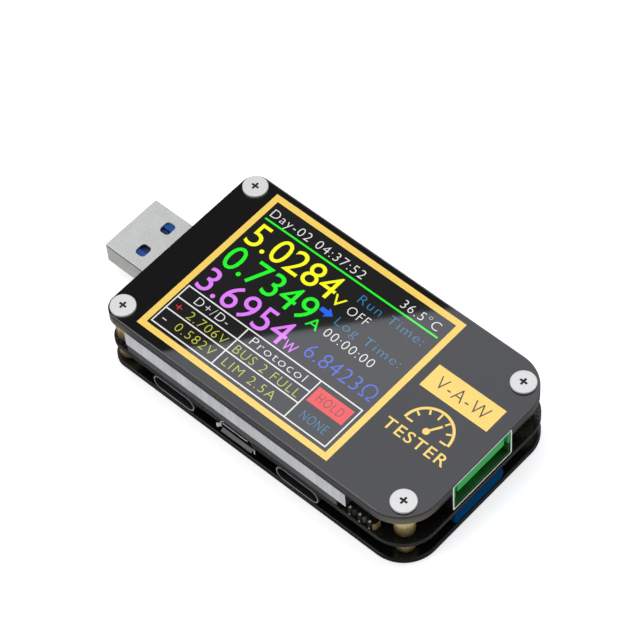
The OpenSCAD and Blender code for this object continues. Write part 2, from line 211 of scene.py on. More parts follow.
def add_block(bm, low, high, matrix=None):
    """A box between two corners, in millimetres."""
    for v in bmesh.ops.create_cube(bm, size=1)["verts"]:
        v.co = Vector([(low[i] if v.co[i] < 0 else high[i]) * MM for i in range(3)])
        if matrix:
            v.co = matrix @ v.co


def add_prism(bm, points, z0, z1):
    """An upright solid over a flat outline that runs anticlockwise, in millimetres."""
    low = [bm.verts.new((x * MM, y * MM, z0 * MM)) for x, y in points]
    high = [bm.verts.new((x * MM, y * MM, z1 * MM)) for x, y in points]
    bm.faces.new(list(reversed(low)))
    bm.faces.new(high)
    count = len(points)
    for i in range(count):
        j = (i + 1) % count
        bm.faces.new((low[i], low[j], high[j], high[i]))


def add_ring(bm, outer, inner, z0, z1):
    """An upright solid between two outlines of the same number of points, in millimetres."""
    rows = [
        [bm.verts.new((x * MM, y * MM, z * MM)) for x, y in loop]
        for loop, z in ((outer, z0), (inner, z0), (inner, z1), (outer, z1))
    ]
    count = len(outer)
    for i in range(count):
        j = (i + 1) % count
        for a, b in ((0, 1), (1, 2), (2, 3), (3, 0)):
            bm.faces.new((rows[a][i], rows[b][i], rows[b][j], rows[a][j]))


def add_revolved(bm, centre, profile, steps, ripple):
    """A turned solid round an upright axis. profile runs up as (radius, z); ripple(i, radius) bends it."""
    rows = []
    for r, z in profile:
        row = []
        for i in range(steps):
            angle = 2 * math.pi * i / steps
            radius = ripple(i, r)
            row.append(bm.verts.new((
                (centre[0] + radius * math.cos(angle)) * MM,
                (centre[1] + radius * math.sin(angle)) * MM,
                z * MM)))
        rows.append(row)
    for lower, upper in zip(rows, rows[1:]):
        for i in range(steps):
            j = (i + 1) % steps
            bm.faces.new((lower[i], lower[j], upper[j], upper[i]))
    bm.faces.new(list(reversed(rows[0])))
    bm.faces.new(rows[-1])


def link_piece(name, mesh, mat, body=CASE):
    """Makes the object, gives it its material, and fixes it to a CAD body."""
    mesh.materials.clear()
    mesh.materials.append(mat)
    obj = bpy.data.objects.new(name, mesh)
    bpy.context.scene.collection.objects.link(obj)
    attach(obj, body)
    return obj


def from_bmesh(name, bm, mat, body=CASE, bevel_mm=0.0, smooth=False):
    bmesh.ops.recalc_face_normals(bm, faces=bm.faces)
    mesh = bpy.data.meshes.new(name)
    bm.to_mesh(mesh)
    bm.free()
    for face in mesh.polygons:
        face.use_smooth = smooth or bevel_mm > 0
    obj = link_piece(name, mesh, mat, body)
    if bevel_mm:
        round_edges(obj, bevel_mm)
    return obj


def round_edges(obj, width_mm, weld=False):
    """Softens the corners. weld first joins an imported mesh's split points and merges its flat faces."""
    if weld:
        join = obj.modifiers.new("join", "WELD")
        join.merge_threshold = 1e-6
        flat = obj.modifiers.new("flat", "DECIMATE")
        flat.decimate_type = "DISSOLVE"
        flat.angle_limit = math.radians(0.5)
    bevel = obj.modifiers.new("round", "BEVEL")
    bevel.width = width_mm * MM
    bevel.segments = 2
    bevel.limit_method = "ANGLE"
    bevel.angle_limit = math.radians(40)
    bevel.use_clamp_overlap = True
    even = obj.modifiers.new("even", "WEIGHTED_NORMAL")
    even.keep_sharp = True
    even.weight = 100


# ---------------------------------------------------------------- Materials

def cover_material(plate_low, plate_high, posts):
    """Black print under clear acrylic: mirror-like above, smoky at the cut edge, with painted highlights
    along the top edges, a painted reflection of the brass posts and painted light on the faces towards -X.
    """
    mat, tree, shader, coords = new_material("cover")
    x, y, z = parts_xyz(tree, coords)
    normal = parts_xyz(tree, coords, "Normal")
    face = above(tree, math_node(tree, "ABSOLUTE", normal[2]), 0.96)
    height = math_node(tree, "DIVIDE", math_node(tree, "SUBTRACT", z, plate_low.z),
                       plate_high.z - plate_low.z)
    print_grain = noise(tree, coords, 3.0, detail=4)
    ink = ramp(tree, print_grain, [(0.3, (0.0052, 0.0052, 0.0058)), (0.7, (0.0068, 0.0068, 0.0074))])
    # The cut edge is darker towards the bottom and lighter in a band below the middle; its top stop is a
    # painted highlight along the chamfer.
    edge = ramp(tree, height, [
        (0.0, (0.022, 0.022, 0.023)), (0.30, (0.050, 0.050, 0.053)), (0.55, (0.068, 0.069, 0.073)),
        (0.68, (0.072, 0.073, 0.077)), (0.74, (0.036, 0.036, 0.038)), (0.9, (0.036, 0.036, 0.036)),
        (0.94, (0.098, 0.095, 0.084))])
    # A thin strip of the top face along both long edges takes the edge's top colour: a painted highlight.
    highlight_width = 0.2 * MM
    half = (plate_high.y - plate_low.y) / 2
    edge_highlight = both(tree, above(tree, height, 0.9),
                  above(tree, math_node(tree, "ABSOLUTE", y), half - highlight_width))
    face = math_node(tree, "SUBTRACT", face, edge_highlight, clamp=True)
    brass_reach = 5.5 * MM
    near_post = None
    for px, py in posts:
        reach = math_node(tree, "DIVIDE", reach_from(tree, x, y, px, py), brass_reach)
        fall = math_node(tree, "SUBTRACT", 1.0, reach, clamp=True)
        near_post = fall if near_post is None else math_node(tree, "MAXIMUM", near_post, fall)
    low_half = math_node(tree, "SUBTRACT", 1.0, math_node(tree, "MULTIPLY", height, 1.2), clamp=True)
    # Near each post the lower half of the cut edge is painted a brass colour: a painted reflection of the
    # post.
    post_reflection = both(tree, near_post, low_half)
    edge = mix_colour(tree, post_reflection, edge, (0.32, 0.26, 0.14))
    # Edge faces that look towards -X are painted up to three times lighter: painted light.
    lit_plug_side = math_node(tree, "MULTIPLY", normal[0], -1.0, clamp=True)
    edge = mix_colour(tree, lit_plug_side, edge, (3.0, 3.0, 3.0), "MULTIPLY")
    tree.links.new(mix_colour(tree, face, edge, ink), shader.inputs["Base Color"])
    swirl = noise(tree, coords, 0.25, detail=5, roughness=0.65)
    saw = noise(tree, coords, 5.0, (0.4, 0.4, 3.0))
    polish = spread(tree, swirl, 0.016, 0.034)
    cut = spread(tree, saw, 0.22, 0.42)
    rough = math_node(tree, "ADD", both(tree, face, polish),
                      both(tree, math_node(tree, "SUBTRACT", 1.0, face), cut))
    tree.links.new(rough, shader.inputs["Roughness"])
    shader.inputs["IOR"].default_value = 1.49
    return mat


def board_material():
    """Black solder mask with copper under it, and the paler cut edge of the laminate."""
    mat, tree, shader, coords = new_material("board")
    nz = parts_xyz(tree, coords, "Normal")[2]
    face = above(tree, math_node(tree, "ABSOLUTE", nz), 0.7)
    tracks_per_metre = 450
    mapping = tree.nodes.new("ShaderNodeMapping")
    mapping.inputs["Scale"].default_value = [tracks_per_metre] * 3
    tree.links.new(coords.outputs["Object"], mapping.inputs["Vector"])
    tracks = tree.nodes.new("ShaderNodeTexBrick")
    tracks.inputs["Scale"].default_value = 1.0
    tracks.inputs["Mortar Size"].default_value = 0.12
    tracks.inputs["Mortar Smooth"].default_value = 0.4
    tree.links.new(mapping.outputs["Vector"], tracks.inputs["Vector"])
    grain = noise(tree, coords, 7.0, detail=4)
    mask = ramp(tree, grain, [(0.3, (0.003, 0.003, 0.0033)), (0.7, (0.006, 0.006, 0.0064))])
    mask = mix_colour(tree, tracks.outputs["Fac"], mask, (0.008, 0.0085, 0.008))
    weave = noise(tree, coords, 4.0, (1, 1, 9))
    laminate = ramp(tree, weave, [(0.3, (0.016, 0.016, 0.016)), (0.7, (0.028, 0.027, 0.026))])
    tree.links.new(mix_colour(tree, face, laminate, mask), shader.inputs["Base Color"])
    tree.links.new(spread(tree, grain, 0.1, 0.2), shader.inputs["Roughness"])
    shader.inputs["IOR"].default_value = 1.45
    shader.inputs["Specular IOR Level"].default_value = 0.3
    add_bump(tree, shader, tracks.outputs["Fac"], 0.02)
    return mat


def striped_material(name, dark, pale, per_mm, rough, bump_mm):
    """A sheet edge with fine upright striations, and painted shade on the ends along X."""
    mat, tree, shader, coords = new_material(name)
    lines = noise(tree, coords, per_mm, (1, 1, 0.02), detail=5, roughness=0.7)
    broad = noise(tree, coords, 0.25, (1, 1, 0.4), detail=2)
    tone = math_node(tree, "ADD", math_node(tree, "MULTIPLY", lines, 0.6),
                     math_node(tree, "MULTIPLY", broad, 0.4))
    nx = parts_xyz(tree, coords, "Normal")[0]
    # The ends that look along X are painted nearly black: painted shade.
    end = above(tree, math_node(tree, "ABSOLUTE", nx), 0.6)
    sides = ramp(tree, tone, [(0.38, dark), (0.62, pale)])
    ends = ramp(tree, tone, [(0.38, tinted(dark, 0.06)), (0.62, tinted(pale, 0.08))])
    tree.links.new(mix_colour(tree, end, sides, ends), shader.inputs["Base Color"])
    tree.links.new(spread(tree, lines, rough[0], rough[1]), shader.inputs["Roughness"])
    add_bump(tree, shader, lines, bump_mm)
    return mat


def steel_material(name, colour, rough, metallic, stretch, per_mm=9.0, bump_mm=0.002,
                   shades=(0.9, 1.07), seam=None):
    """Rolled or stamped metal: a drawn grain and stains that change the gloss.

    seam is (y, z0, z1): painted shade along the fold groove on the side below y, between two heights.
    """
    mat, tree, shader, coords = new_material(name)
    grain = noise(tree, coords, per_mm, stretch, detail=4, roughness=0.6)
    stain = noise(tree, coords, 0.35, detail=5, roughness=0.6)
    tone = math_node(tree, "ADD", math_node(tree, "MULTIPLY", grain, 0.8),
                     math_node(tree, "MULTIPLY", stain, 0.2))
    colours = ramp(tree, tone, [(0.4, tinted(colour, shades[0])), (0.6, tinted(colour, shades[1]))])
    if seam:
        y, z = parts_xyz(tree, coords)[1:]
        band = both(tree, above(tree, z, seam[1]), below(tree, z, seam[2]))
        # The groove is painted dark: painted shade in the crease.
        groove = both(tree, below(tree, y, seam[0]), band)
        colours = mix_colour(tree, groove, colours, (0.03, 0.03, 0.03))
    tree.links.new(colours, shader.inputs["Base Color"])
    tree.links.new(spread(tree, tone, rough[0], rough[1]), shader.inputs["Roughness"])
    shader.inputs["Metallic"].default_value = metallic
    add_bump(tree, shader, grain, bump_mm)
    return mat


def shell_material(name, colour, rough, highlight_tone, ears=False):
    """Stamped steel with painted shade on its inner faces and a painted highlight on the mouth's cut edge.
    ears: the painted highlight is only on the upper lip and the side lips.
    """
    mat, tree, shader, coords = new_material(name)
    grain = noise(tree, coords, 6.0, (1, 0.3, 1), detail=4)
    across = parts_xyz(tree, coords, "Generated")
    normal = parts_xyz(tree, coords, "Normal")
    outward = [both(tree, math_node(tree, "SUBTRACT", across[i], 0.5), normal[i]) for i in (0, 2)]
    # Faces that look towards the shell's axis are painted near black: painted shade inside the shell.
    shaded_inside = below(tree, math_node(tree, "ADD", outward[0], outward[1]), -0.06)
    shaded_inside = both(tree, shaded_inside, above(tree, normal[1], -0.3))
    # Faces that look along -Y at the mouth take a paler tone: a painted highlight.
    lit_rim = below(tree, normal[1], -0.7)
    if ears:
        out_x = math_node(tree, "ABSOLUTE", math_node(tree, "SUBTRACT", across[0], 0.5))
        end = above(tree, out_x, 0.44)
        upper = above(tree, across[2], 0.45)
        lit_rim = both(tree, lit_rim, math_node(tree, "MAXIMUM", end, upper))
        # On ears the side lips that look towards +X get the painted highlight too.
        lit_side_lip = both(tree, above(tree, normal[0], 0.4), below(tree, normal[1], -0.2))
        lit_rim = math_node(tree, "MAXIMUM", lit_rim, lit_side_lip)
    steel = ramp(tree, grain, [(0.3, tinted(colour, 0.88)), (0.7, tinted(colour, 1.08))])
    painted_tone = ramp(tree, grain, [(0.3, tinted(highlight_tone, 0.87)), (0.7, tinted(highlight_tone, 1.13))])
    steel = mix_colour(tree, lit_rim, steel, painted_tone)
    tree.links.new(mix_colour(tree, shaded_inside, steel, (0.003, 0.003, 0.003)), shader.inputs["Base Color"])
    dull = math_node(tree, "MAXIMUM", shaded_inside, math_node(tree, "MULTIPLY", lit_rim, 0.75))
    tree.links.new(math_node(tree, "MULTIPLY", math_node(tree, "SUBTRACT", 1.0, dull), 0.8),
                   shader.inputs["Metallic"])
    tree.links.new(math_node(tree, "ADD", spread(tree, grain, rough[0], rough[1]),
                             math_node(tree, "MULTIPLY", shaded_inside, 0.3)), shader.inputs["Roughness"])
    add_bump(tree, shader, grain, 0.002)
    return mat


def pin_material(name, tip_highlight, flank_shade):
    """Plated pins: a painted highlight on the ends that look up, and painted shade on the pins' sides."""
    mat, tree, shader, coords = new_material(name)
    grain = noise(tree, coords, 9.0, detail=3)
    # Faces that look up take the pale tone, a painted glint; the rest is painted dark, as shade.
    up = above(tree, parts_xyz(tree, coords, "Normal")[2], 0.9)
    shaded_flanks = ramp(tree, grain, [(0.3, tinted(flank_shade, 0.75)), (0.7, tinted(flank_shade, 1.2))])
    ends = ramp(tree, grain, [(0.3, tinted(tip_highlight, 0.9)), (0.7, tinted(tip_highlight, 1.05))])
    tree.links.new(mix_colour(tree, up, shaded_flanks, ends), shader.inputs["Base Color"])
    tree.links.new(spread(tree, grain, 0.3, 0.45), shader.inputs["Roughness"])
    shader.inputs["Metallic"].default_value = 0.3
    return mat


def block_material(name, low_x, high_x):
    """Black moulded blocks with painted light: a bluish painted sheen where they look at -X, and warmer at +X
    the nearer the brass post, a painted reflection of the brass.
    """
    mat, tree, shader, coords = new_material(name)
    x = parts_xyz(tree, coords)[0]
    nx = parts_xyz(tree, coords, "Normal")[0]
    grain = noise(tree, coords, 6.0, detail=4)
    # Faces that look at +X are painted a brownish tone, the more the nearer the post: a painted reflection of
    # the brass.
    brass_reflection = ramp(tree, spread(tree, x, 0.0, 1.0, low_x, high_x), [
        (0.1, (0.022, 0.021, 0.019)), (0.5, (0.075, 0.062, 0.028)), (0.9, (0.20, 0.135, 0.056))])
    plain = ramp(tree, grain, [(0.3, (0.005, 0.005, 0.0055)), (0.7, (0.009, 0.009, 0.0095))])
    # Faces that look at -X get a bluish painted sheen.
    bluish_sheen = mix_colour(tree, below(tree, nx, -0.4), plain, (0.030, 0.034, 0.040))
    tree.links.new(mix_colour(tree, above(tree, nx, 0.4), bluish_sheen, brass_reflection), shader.inputs["Base Color"])
    tree.links.new(spread(tree, grain, 0.35, 0.5), shader.inputs["Roughness"])
    add_bump(tree, shader, grain, 0.004)
    return mat


def rim_steel_material(name, bright, dark, rough):
    """A painted highlight on the cut edge at the mouth, which looks along X, and painted shade on the sides.
    """
    mat, tree, shader, coords = new_material(name)
    grain = noise(tree, coords, 6.0, (0.3, 1, 1), detail=4)
    lit_rim = above(tree, parts_xyz(tree, coords, "Normal")[0], 0.6)
    # The sides are painted dark, as shade, and the mouth's cut edge pale, as a painted highlight.
    sides = ramp(tree, grain, [(0.3, tinted(dark, 0.85)), (0.7, tinted(dark, 1.15))])
    mouth = ramp(tree, grain, [(0.3, tinted(bright, 0.94)), (0.7, tinted(bright, 1.04))])
    tree.links.new(mix_colour(tree, lit_rim, sides, mouth), shader.inputs["Base Color"])
    tree.links.new(math_node(tree, "SUBTRACT", 0.9, math_node(tree, "MULTIPLY", lit_rim, 0.75)),
                   shader.inputs["Metallic"])
    tree.links.new(spread(tree, grain, rough[0], rough[1]), shader.inputs["Roughness"])
    add_bump(tree, shader, grain, 0.002)
    return mat


def lining_material(name, colour, deep, tongue_z):
    """Moulded lining: plain on the tongue and above it, and darker below it, where shade is painted."""
    mat, tree, shader, coords = new_material(name)
    z = parts_xyz(tree, coords)[2]
    grain = noise(tree, coords, 7.0)
    flow = noise(tree, coords, 0.8, (1, 0.3, 1), detail=4)
    # Below the given height the colour drops to the deep tone: painted shade.
    under = spread(tree, z, 1.0, 0.0, tongue_z, tongue_z + 0.1 * MM)
    upper_tone = ramp(tree, flow, [(0.3, tinted(colour, 0.94)), (0.7, tinted(colour, 1.06))])
    painted_tone = ramp(tree, flow, [(0.35, tinted(deep, 0.7)), (0.65, tinted(deep, 1.3))])
    tree.links.new(mix_colour(tree, under, upper_tone, painted_tone), shader.inputs["Base Color"])
    tree.links.new(spread(tree, grain, 0.4, 0.55), shader.inputs["Roughness"])
    shader.inputs["Specular IOR Level"].default_value = 0.3
    add_bump(tree, shader, grain, 0.003)
    return mat


def post_material(upper_foot, upper_top, lower_foot, lower_top):
    """Turned brass, bright at the top of each post and darker towards its foot, with a painted glow in its
    own colour.
    """
    mat, tree, shader, coords = new_material("brass")
    z = parts_xyz(tree, coords)[2]
    grain = noise(tree, coords, 8.0, (1, 1, 0.05), detail=4)
    stain = noise(tree, coords, 1.2, detail=5)
    upper = spread(tree, z, 0.0, 1.0, upper_foot + 0.3 * MM, upper_top - 0.6 * MM)
    lower = spread(tree, z, 0.0, 1.0, lower_foot + 0.3 * MM, lower_top - 0.4 * MM)
    is_upper = above(tree, z, (lower_top + upper_foot) / 2)
    rise = mix_colour(tree, is_upper, lower, upper)
    level = math_node(tree, "ADD", math_node(tree, "MULTIPLY", rise, 0.85),
                      math_node(tree, "MULTIPLY", stain, 0.3))
    tone = ramp(tree, level, [(0.12, (0.045, 0.034, 0.014)), (0.5, (0.30, 0.23, 0.10)),
                              (0.9, (0.95, 0.78, 0.44))])
    streaks = ramp(tree, grain, [(0.4, (0.5, 0.5, 0.5)), (0.6, (1, 1, 1))])
    brass = mix_colour(tree, 1.0, tone, streaks, "MULTIPLY")
    tree.links.new(brass, shader.inputs["Base Color"])
    # The brass glows in its own colour: painted light.
    tree.links.new(brass, shader.inputs["Emission Color"])
    shader.inputs["Emission Strength"].default_value = 0.26
    tree.links.new(spread(tree, grain, 0.28, 0.46), shader.inputs["Roughness"])
    shader.inputs["Metallic"].default_value = 0.3
    add_bump(tree, shader, grain, 0.004)
    return mat


def screw_material(head_z, recess_mm, posts, colour):
    """Turned heads with fine rings, and painted shade in the cross recess."""
    mat, tree, shader, coords = new_material("screw_steel")
    x, y, z = parts_xyz(tree, coords)
    grain = noise(tree, coords, 7.0, detail=5)
    tone = ramp(tree, grain, [(0.3, tinted(colour, 0.93)), (0.7, tinted(colour, 1.05))])
    near = None
    for px, py in posts:
        reach = reach_from(tree, x, y, px, py)
        near = reach if near is None else math_node(tree, "MINIMUM", near, reach)
    ring_pitch, recess_top, recess_floor = 0.12 * MM, head_z - 0.03 * MM, head_z - 0.6 * MM
    rings = math_node(tree, "SINE", math_node(tree, "MULTIPLY", near, 2 * math.pi / ring_pitch))
    # Inside the recess the head is painted near black: painted shade.
    deep = both(tree, below(tree, near, recess_mm * MM), below(tree, z, recess_top))
    deep = both(tree, deep, above(tree, z, recess_floor))
    tree.links.new(mix_colour(tree, deep, tone, (0.012, 0.012, 0.013)), shader.inputs["Base Color"])
    tree.links.new(math_node(tree, "SUBTRACT", 0.3, math_node(tree, "MULTIPLY", deep, 0.3)),
                   shader.inputs["Metallic"])
    tree.links.new(spread(tree, grain, 0.42, 0.58), shader.inputs["Roughness"])
    add_bump(tree, shader, rings, 0.0012)
    return mat


plate_low, plate_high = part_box("top_plate")
post_low, post_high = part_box("upper_standoffs")
screw_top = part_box("top_screws")[1].z
plug_low, plug_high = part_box("plug_shell")
socket_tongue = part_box("socket_contacts")[0].z


def mesh_centres(node, z_level):
    """Middle of each separate round part of a node, from its points at one level."""
    points = [v.co for v in NODES[node].data.vertices if abs(v.co.z - z_level) < 1e-6]
    groups = []
    for p in points:
        for g in groups:
            if (Vector(g[0][:2]) - Vector(p[:2])).length < 6 * MM:
                g.append(p)
                break
        else:
            groups.append([p])
    centres = []
    for g in groups:
        xs = [p.x for p in g]
        ys = [p.y for p in g]
        centres.append(((min(xs) + max(xs)) / 2, (min(ys) + max(ys)) / 2))
    return centres


POSTS = mesh_centres("upper_standoffs", post_low.z)
POST_KINDS = sorted({(round(x, 6), round(abs(y), 6)) for x, y in POSTS})

materials = {
    "cover": cover_material(plate_low, plate_high, POST_KINDS),
    "base_plate": finish_material("base_plate", (0.0035, 0.0035, 0.004), (0.16, 0.28), bump_mm=0.001),
    "board": board_material(),
    "brass": post_material(post_low.z, post_high.z, *[c.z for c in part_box("lower_standoffs")]),
    "header_black": block_material("header_black", *[c.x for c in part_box("header_housing")]),
    "tinned": pin_material("tinned", (0.8, 0.79, 0.74), (0.03, 0.024, 0.013)),
    "screw_steel": screw_material(screw_top, 0.75, POST_KINDS, (0.79, 0.785, 0.755)),
    "lcd_frame": striped_material("lcd_frame", (0.48, 0.49, 0.51), (0.63, 0.64, 0.66), 1.6,
                                  (0.35, 0.55), 0.01),
    "light_guide": finish_material("light_guide", (0.8, 0.8, 0.78), (0.15, 0.3)),
    "panel_glass": finish_material("panel_glass", (0.016, 0.016, 0.02), (0.04, 0.09), bump_mm=0.0),
    "flex": finish_material("flex", (0.5, 0.22, 0.04), (0.25, 0.4), vary=0.2),
    "ivory_plastic": finish_material("ivory_plastic", (0.72, 0.68, 0.56), (0.4, 0.55)),
    "spacer": striped_material("spacer", (0.066, 0.067, 0.073), (0.095, 0.097, 0.105), 1.2,
                               (0.4, 0.6), 0.01),
    "plug_steel": steel_material("plug_steel", (0.67, 0.67, 0.64), (0.4, 0.56), 0.35, (0.7, 1, 1), 5.0,
                                 0.006, (0.86, 1.1),
                                 (plug_low.y + 0.3 * MM, plug_high.z - 0.45 * MM, plug_high.z - 0.2 * MM)),
    "blue_plastic": finish_material("blue_plastic", (0.012, 0.10, 0.38), (0.35, 0.5)),
    # The second colour of pad_blue is painted shade on the recessed inner half of each window pad.
    "pad_blue": lining_material("pad_blue", (0.004, 0.075, 0.34), (0.016, 0.03, 0.12),
                                plug_high.z - 0.65 * MM),
    "gold": steel_material("gold", (0.86, 0.62, 0.24), (0.2, 0.34), 0.9, (0.3, 1, 1)),
    "socket_steel": rim_steel_material("socket_steel", (0.86, 0.92, 0.86), (0.10, 0.10, 0.10), (0.3, 0.42)),
    # The second colour of green_plastic is painted shade under the tongue.
    "green_plastic": lining_material("green_plastic", (0.030, 0.44, 0.095), (0.012, 0.10, 0.016),
                                     socket_tongue),
    "port_steel": steel_material("port_steel", (0.66, 0.66, 0.66), (0.26, 0.4), 0.8, (1, 0.3, 1)),
    # The shells' steel tone is painted dark: painted shade.
    "port_shell": shell_material("port_shell", (0.15, 0.15, 0.15), (0.3, 0.42), (0.32, 0.32, 0.315)),
    "flared_shell": shell_material("flared_shell", (0.15, 0.15, 0.15), (0.45, 0.6), (0.62, 0.62, 0.61), True),
    "deep_blue": finish_material("deep_blue", (0.001, 0.038, 0.112), (0.45, 0.6), specular=0.0),
    "black_plastic": finish_material("black_plastic", (0.006, 0.006, 0.006), (0.35, 0.5)),
    "chip": finish_material("chip", (0.014, 0.014, 0.014), (0.45, 0.6), bump_mm=0.01),
    "ferrite": finish_material("ferrite", (0.05, 0.05, 0.055), (0.55, 0.75), bump_mm=0.02),
    "ceramic": finish_material("ceramic", (0.46, 0.31, 0.15), (0.4, 0.55)),
    "key": finish_material("key", (0.010, 0.010, 0.011), (0.4, 0.55), bump_mm=0.01),
}

BEVELS_MM = {
    "top_plate": 0.15, "bottom_plate": 0.12, "main_board": 0.08, "top_screws": 0.05,
    "bottom_screws": 0.04, "lcd_frame": 0.08, "lcd_backlight": 0.05, "lcd_panel": 0.05,
    "flex_connector": 0.06, "spacer_strips": 0.12, "plug_shell": 0.05, "plug_insulator": 0.06,
    "plug_contacts": 0.03, "socket_shell": 0.05, "socket_insulator": 0.05, "socket_contacts": 0.03,
    "edge_block": 0.1, "left_c_shell": 0.07, "left_c_tongue": 0.05, "micro_shell": 0.04,
    "micro_tongue": 0.05, "right_c_shell": 0.07, "right_c_tongue": 0.05, "header_housing": 0.05,
    "header_pins": 0.13, "controller_chip": 0.06, "converter_chip": 0.06, "crystal": 0.08,
    "inductor": 0.15, "capacitors": 0.1, "shunt_resistor": 0.08, "key_bodies": 0.06,
    "key_cap_up": 0.12, "key_cap_ok": 0.12, "key_cap_down": 0.12, "switch_body": 0.08,
    "switch_slider": 0.12,
}

LOOKS = {"left_c_shell": "port_shell", "right_c_shell": "port_shell", "micro_shell": "flared_shell",
         "edge_block": "deep_blue", "header_pins": "tinned", "header_housing": "header_black"}

slots = {s["node"]: s["material_slot"] for s in frame["record"]["subparts"]}
for name, obj in NODES.items():
    obj.data.materials.clear()
    obj.data.materials.append(materials[LOOKS.get(name, slots[name])])
    for face in obj.data.polygons:
        face.use_smooth = True
    if "custom_normal" in obj.data.attributes:
        obj.data.attributes.remove(obj.data.attributes["custom_normal"])
    if name in BEVELS_MM:
        round_edges(obj, BEVELS_MM[name], weld=True)


# ---------------------------------------------------------------- Ribbed brass posts

def ribbed_posts(name, node):
    """Turned posts with plain collars and fine upright ribs between them."""
    low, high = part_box(node)
    z0, z1 = low.z / MM, high.z / MM
    radius = (high.x - max(c[0] for c in POSTS)) / MM
    ribs, groove = 40, (0, 0.08, 0.12, 0.08)
    collar, chamfer, step = 0.35, 0.1, 0.05
    collar_r = radius - step
    profile = [(collar_r - chamfer, z0), (collar_r, z0 + chamfer), (collar_r, z0 + collar),
               (radius, z0 + collar + chamfer), (radius, z1 - collar - chamfer),
               (collar_r, z1 - collar), (collar_r, z1 - chamfer), (collar_r - chamfer, z1)]

    def ripple(i, r):
        return r - groove[i % len(groove)] if r > collar_r + step / 2 else r

    bm = bmesh.new()
    for cx, cy in POSTS:
        add_revolved(bm, (cx / MM, cy / MM), profile, ribs * len(groove), ripple)
    obj = from_bmesh(name, bm, materials["brass"], smooth=True)
    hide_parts(node)
    return obj


ribbed_posts("upper_posts", "upper_standoffs")
ribbed_posts("lower_posts", "lower_standoffs")


# ---------------------------------------------------------------- Printed face and screen

FACE_X = plate_low.x / MM
FACE_Z = plate_high.z / MM


def face_point(u, v):
    """u runs from the plug end of the upper plate, v from its middle line, in millimetres."""
    return FACE_X + u, v


def rectangle(u0, v0, u1, v1):
    (x0, y0), (x1, y1) = face_point(min(u0, u1), min(v0, v1)), face_point(max(u0, u1), max(v0, v1))
    return [(x0, y0), (x1, y0), (x1, y1), (x0, y1)]


def add_bar(bm, u0, v0, u1, v1, width, z0, z1):
    """A straight stroke between two points of the face."""
    a, b = Vector(face_point(u0, v0)), Vector(face_point(u1, v1))
    side = Vector((-(b - a).y, (b - a).x)).normalized() * (width / 2)
    add_prism(bm, [tuple(a - side), tuple(b - side), tuple(b + side), tuple(a + side)], z0, z1)


def add_text(bm, text, u0, u1, baseline, cap, z0, z1, thicken=-0.04, apart=1.15):
    """Raised lettering of the given capital height, fitted between u0 and u1."""
    capital_share = 0.7
    curve = bpy.data.curves.new("lettering", "FONT")
    curve.body = text
    curve.size = cap / capital_share
    curve.extrude = (z1 - z0) / 2
    curve.offset = thicken
    curve.space_character = apart
    curve.resolution_u = 4
    holder = bpy.data.objects.new("lettering", curve)
    bpy.context.scene.collection.objects.link(holder)
    bpy.context.view_layer.update()
    mesh = bpy.data.meshes.new_from_object(holder.evaluated_get(bpy.context.evaluated_depsgraph_get()))
    xs = [v.co.x for v in mesh.vertices]
    left, right = min(xs), max(xs)
    stretch = (u1 - u0) / (right - left)
    for v in mesh.vertices:
        x, y = face_point(u0 + (v.co.x - left) * stretch, baseline + v.co.y)
        v.co = Vector((x, y, (z0 + z1) / 2 + v.co.z)) * MM
    bm.from_mesh(mesh)
    bmesh.ops.remove_doubles(bm, verts=bm.verts, dist=1e-7)
    bpy.data.objects.remove(holder)
    bpy.data.meshes.remove(mesh)
    bpy.data.curves.remove(curve)


# Levels above the plate's face: gold print, glass, and the light of the screen
PRINT_FOOT = FACE_Z + 0.004
GLASS_TOP = FACE_Z + 0.01
INK_Z = FACE_Z + 0.012
INK_TOP = FACE_Z + 0.03


def ink(name, mat, slot, build):
    """One colour of the face's graphics as thin closed solids."""
    bm = bmesh.new()
    build(bm)
    return from_bmesh(name, bm, mat)


# The gold print glows a little in its own colour: painted light.
gold_print = ink_material("gold_print", (0.96, 0.655, 0.128), 0, rough=(0.05, 0.12), painted_glow=0.12)
screen_ink = {
    "white": ink_material("ink_white", (1.0, 1.0, 1.0), 0.86, 1.57),
    "yellow": ink_material("ink_yellow", (1.0, 0.98, 0.018), 1.0, 1.57),
    "green": ink_material("ink_green", (0.02, 1.0, 0.03), 0.95, 1.57),
    "violet": ink_material("ink_violet", (0.76, 0.21, 1.0), 1.0, 1.57),
    "blue": ink_material("ink_blue", (0.022, 0.15, 1.0), 0.9, 1.57),
    "sky": ink_material("ink_sky", (0.035, 0.23, 0.46), 0.9, 1.57),
    "indigo": ink_material("ink_indigo", (0.065, 0.13, 0.72), 0.9, 1.57),
    "lime": ink_material("ink_lime", (0.62, 0.66, 0.06), 0.85, 1.57),
    "red": ink_material("ink_red", (0.95, 0.05, 0.055), 0.85, 1.57),
}
screen_dark = ink_material("screen_dark", (0.0105, 0.0105, 0.011), 1.0, 1.57, vary=0.03)
red_field = ink_material("red_field", (0.9, 0.055, 0.06), 0.9, 1.57)
dark_on_red = ink_material("dark_on_red", (0.10, 0.06, 0.06), 0.5, 1.57)
dark_print = ink_material("dark_print", (0.016, 0.015, 0.012), 0, rough=(0.05, 0.12))

# Rectangles on the face: u and v of one corner, then of the opposite one
FRAME_OUT = (6.19, -16.27, 46.59, 16.85)
FRAME_IN = (7.34, -15.17, 45.41, 15.70)
LABEL = (48.21, 3.56, 61.80, 8.44)
RULE = (7.97, 11.83, 44.69, 12.16)
HOLD_FIELD = (36.72, -9.97, 43.98, -6.78)


def build_gold(bm):
    add_ring(bm, rectangle(*FRAME_OUT), rectangle(*FRAME_IN), PRINT_FOOT, INK_Z + 0.008)
    add_prism(bm, rectangle(*LABEL), PRINT_FOOT, INK_Z)
    add_text(bm, "TESTER", 48.5, 60.8, -5.85, 2.1, PRINT_FOOT, INK_Z, thicken=0.02)


